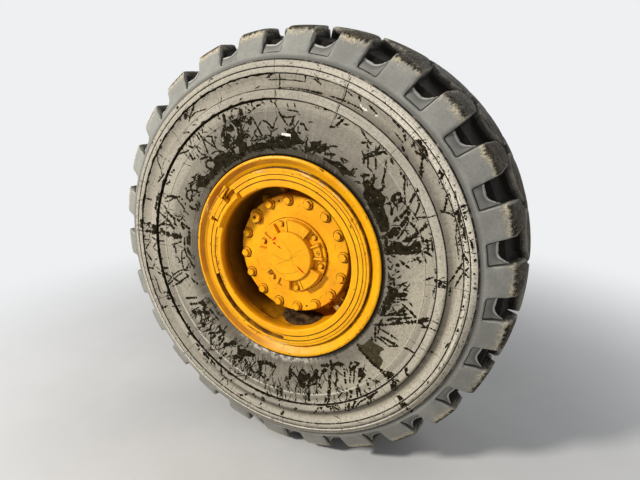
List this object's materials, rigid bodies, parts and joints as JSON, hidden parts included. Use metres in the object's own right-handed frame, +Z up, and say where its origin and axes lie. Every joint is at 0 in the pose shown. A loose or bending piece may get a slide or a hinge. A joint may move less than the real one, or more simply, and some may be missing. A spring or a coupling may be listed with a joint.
{
  "type": "earthmover wheel with planetary hub on its axle end",
  "caption": "Big earthmover wheel of an articulated hauler: lugged tyre on a multi-piece rim, planetary hub, brake housing and axle arm with a bolted flange.",
  "frame": {"origin": "centre of the axle arm's mount face, on the wheel's axis", "axes": "+Y along the axle, inboard, out of the mount face; +Z up; the wheel's outboard side faces -Y"},
  "size_m": [1.6478, 0.722, 1.6478],
  "materials": {
    "tyre_rubber": "dusty weathered rubber",
    "rim_paint": "worn yellow paint",
    "hub_paint": "yellow paint on castings",
    "axle_paint": "dirty dark grey paint on castings",
    "bare_steel": "oiled machined steel",
    "brass": "dull brass",
    "seal_rubber": "matt black rubber"
  },
  "bodies": {
    "axle_end": {"spindle": "axle_paint", "brake_housing": "axle_paint", "brake_bolts": "axle_paint", "brake_fittings": "bare_steel", "axle_arm": "axle_paint", "arm_bolts": "axle_paint", "shaft_seals": "seal_rubber"},
    "wheel": {"tyre": "tyre_rubber", "rim_base": "rim_paint", "wheel_disc": "rim_paint", "inner_flange": "rim_paint", "outer_flange": "rim_paint", "bead_seat_band": "rim_paint", "lock_ring": "rim_paint", "driver_key": "rim_paint", "valve_stem": "brass", "valve_guard": "rim_paint", "hub": "hub_paint", "wheel_nuts": "hub_paint", "planet_housing": "hub_paint", "planet_carrier": "bare_steel", "carrier_cover": "hub_paint", "cover_bolts": "hub_paint", "drain_plug": "hub_paint", "hub_cap": "hub_paint", "cap_bolts": "hub_paint", "cap_plug": "hub_paint"},
    "half_shaft": {"half_shaft": "bare_steel"}
  },
  "joints": [
    {"name": "wheel_spin", "type": "hinge", "parent": "axle_end", "child": "wheel", "pos_m": [0, -0.355, 0], "axis": [0, 1, 0], "continuous": true},
    {"name": "shaft_spin", "type": "hinge", "parent": "axle_end", "child": "half_shaft", "pos_m": [0, 0, 0], "axis": [0, 1, 0], "continuous": true}
  ],
  "couplings": [
    {"joint": "shaft_spin", "follows": "wheel_spin", "ratio": 5}
  ]
}
